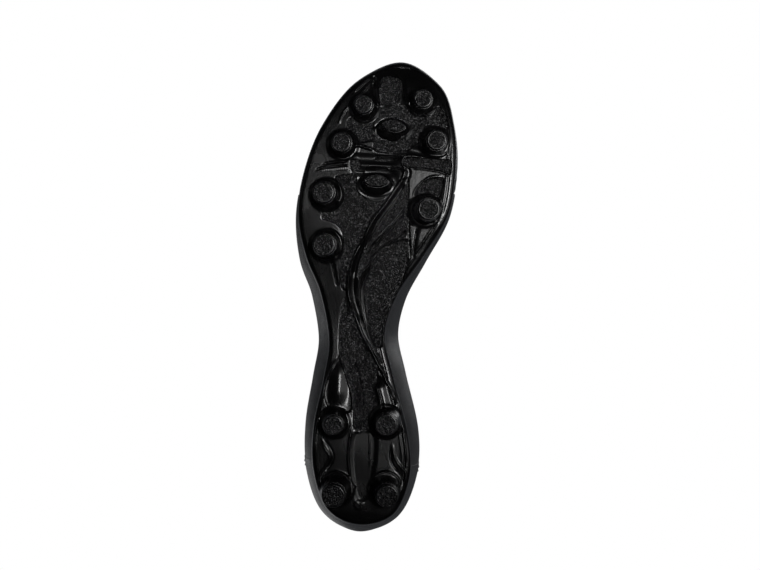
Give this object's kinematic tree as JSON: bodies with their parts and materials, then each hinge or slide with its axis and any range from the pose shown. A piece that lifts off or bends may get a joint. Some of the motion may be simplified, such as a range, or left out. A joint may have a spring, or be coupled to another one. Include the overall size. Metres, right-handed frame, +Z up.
{
  "type": "soccer cleat",
  "caption": "Low-cut right-foot soccer cleat with a moulded studded outsole that flexes at the ball, a laced throat, a folding padded tongue and a padded collar.",
  "frame": {"origin": "on the ground under the middle of the bounding box; the stud tips stand on z = 0", "axes": "+Z up, +Y towards the heel, -Y towards the toe, +X towards the medial side of this right shoe"},
  "size_m": [0.0945, 0.2862, 0.1257],
  "materials": {
    "plate": "glossy black moulded TPU with pebbled recesses",
    "stud_tip": "black, grained flat end with a polished rim",
    "upper_shell": "black synthetic leather, fine grain, semi-matt",
    "overlay": "black smooth synthetic overlay, stitched",
    "tongue_fabric": "black knitted mesh over foam",
    "lining": "black brushed textile lining",
    "sockliner": "black textile top cloth on foam",
    "foam": "dark grey open-cell foam",
    "stiffener": "pale thermoformed stiffener sheet",
    "board": "pale woven lasting board",
    "webbing": "black woven tape",
    "lace": "black braided lace"
  },
  "bodies": {
    "shoe": {"outsole_rear": "plate", "stud_tip_mid_centre": "stud_tip", "stud_tip_third_lateral": "stud_tip", "stud_tip_fourth_lateral": "stud_tip", "stud_tip_third_medial": "stud_tip", "stud_tip_heel_front_lateral": "stud_tip", "stud_tip_heel_front_medial": "stud_tip", "stud_tip_heel_rear_lateral": "stud_tip", "stud_tip_heel_rear_medial": "stud_tip", "lasting_board_rear": "board", "sockliner_rear": "sockliner", "heel_cushion": "foam", "vamp_crease": "upper_shell", "vamp_rear": "upper_shell", "vamp_lining_rear": "lining", "quarter_lateral": "upper_shell", "quarter_medial": "upper_shell", "quarter_lining_lateral": "lining", "quarter_lining_medial": "lining", "eyestay_lateral": "overlay", "eyestay_medial": "overlay", "heel_panel": "upper_shell", "heel_counter": "stiffener", "collar_foam": "foam", "collar_lining": "lining", "heel_pull_tab": "webbing", "tongue_face": "tongue_fabric", "tongue_padding": "foam", "tongue_loop": "webbing", "lace": "lace"},
    "toe": {"outsole_toe": "plate", "stud_tip_toe_lateral": "stud_tip", "stud_tip_toe_medial": "stud_tip", "stud_tip_second_lateral": "stud_tip", "stud_tip_second_medial": "stud_tip", "stud_tip_front_centre": "stud_tip", "lasting_board_toe": "board", "sockliner_toe": "sockliner", "vamp_toe": "upper_shell", "vamp_lining_toe": "lining", "toe_puff": "stiffener"},
    "tongue_top": {"tongue_top_face": "tongue_fabric", "tongue_top_padding": "foam"}
  },
  "joints": [
    {"name": "toe_flex", "type": "hinge", "parent": "shoe", "child": "toe", "pos_m": [0, -0.0795, 0.0146], "axis": [-1, 0, 0], "range_deg": [0, 25], "stiffness_Nm_per_rad": 4, "deforming": ["vamp_crease"]},
    {"name": "tongue_fold", "type": "hinge", "parent": "shoe", "child": "tongue_top", "pos_m": [-0.0022, 0.0288, 0.1022], "axis": [1, 0, 0], "range_deg": [0, 40], "stiffness_Nm_per_rad": 0.08}
  ]
}
